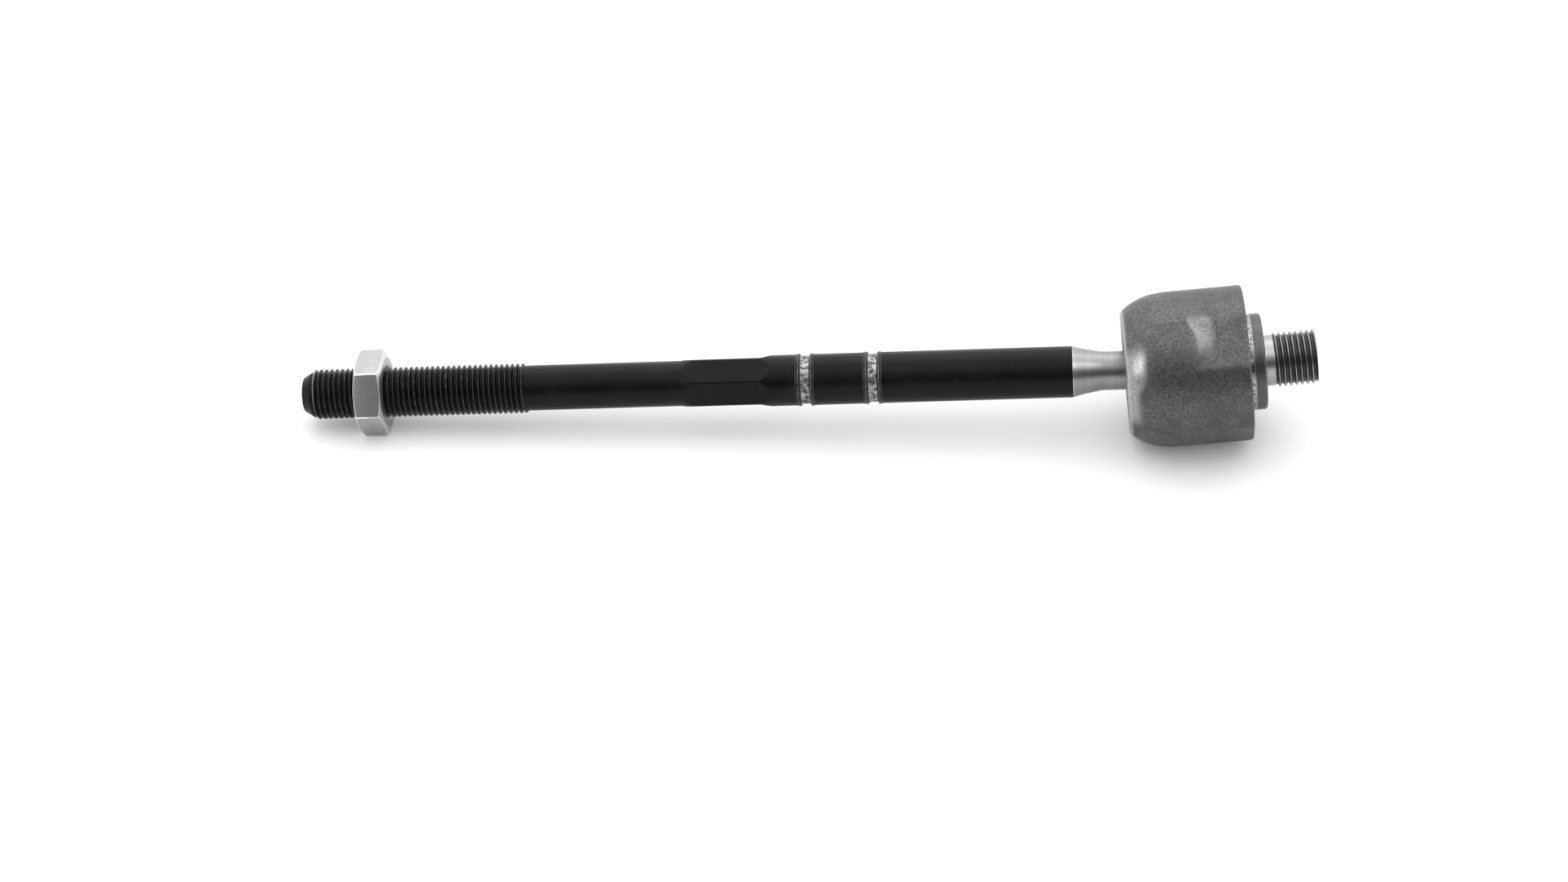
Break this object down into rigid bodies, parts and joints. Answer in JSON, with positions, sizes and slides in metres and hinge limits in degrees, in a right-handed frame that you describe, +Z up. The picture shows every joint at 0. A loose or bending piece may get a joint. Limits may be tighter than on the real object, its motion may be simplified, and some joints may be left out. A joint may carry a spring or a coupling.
{
  "type": "inner tie rod",
  "caption": "Steering inner tie rod: threaded black steel rod with jam nut, wrench hexagon, boot grooves and a ball held in a round socket housing with a rack stud.",
  "frame": {"origin": "on the floor under the middle of the object's box, as it lies at rest", "axes": "+X along the object's length from the threaded rod end to the rack stud, +Z up"},
  "size_m": [0.28, 0.043, 0.0442],
  "materials": {
    "black_coat": "semi-gloss black coating over steel",
    "forged_steel": "shot-blasted, burnished on the rolled rim",
    "plated_steel": "dull plating with bright worn edges",
    "bare_steel": "turned bare steel",
    "seat_plastic": "natural acetal"
  },
  "bodies": {
    "rod": {"ball_rod": "black_coat"},
    "seat": {"ball_seat": "seat_plastic"},
    "housing": {"socket_housing": "forged_steel"},
    "nut": {"jam_nut": "plated_steel"}
  },
  "joints": [
    {"name": "ball_tilt", "type": "hinge", "parent": "rod", "child": "seat", "pos_m": [0.10232, -0.00024, 0.02134], "axis": [-0.0249, -0.8547, 0.5185], "range_deg": [-25.47, 18.53]},
    {"name": "ball_turn", "type": "hinge", "parent": "seat", "child": "housing", "pos_m": [0.10232, -0.00024, 0.02134], "axis": [0.9945, 0.0314, 0.0995], "continuous": true},
    {"name": "nut_travel", "type": "slide", "parent": "rod", "child": "nut", "axis": [0.9989, 0, 0.0479], "range_m": [-0.015, 0.0375]}
  ]
}
